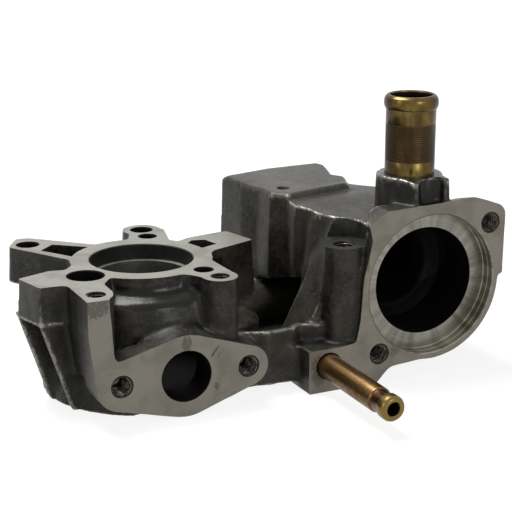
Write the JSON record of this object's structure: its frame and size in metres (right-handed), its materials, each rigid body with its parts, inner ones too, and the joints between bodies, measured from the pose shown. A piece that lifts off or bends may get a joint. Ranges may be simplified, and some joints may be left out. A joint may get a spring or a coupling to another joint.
{
  "type": "engine coolant housing",
  "caption": "Cast aluminium coolant housing with a star-shaped pump face, a counterbored round chamber, an outlet flange, an upright hose spigot and a slim pipe.",
  "frame": {"origin": "centre of the pump bore on the machined pump face", "axes": "+X along the two machined front flanges, -Y out of those flanges, +Z out of the pump face"},
  "size_m": [0.1832, 0.14, 0.1063],
  "materials": {
    "cast_metal": "as cast, with machined faces",
    "plated_tube": "zinc-yellow plated, satin",
    "copper_tube": "copper-toned, drawn"
  },
  "bodies": {
    "root": {"housing_casting": "cast_metal", "hose_spigot": "plated_tube", "bypass_pipe": "copper_tube"}
  },
  "joints": []
}
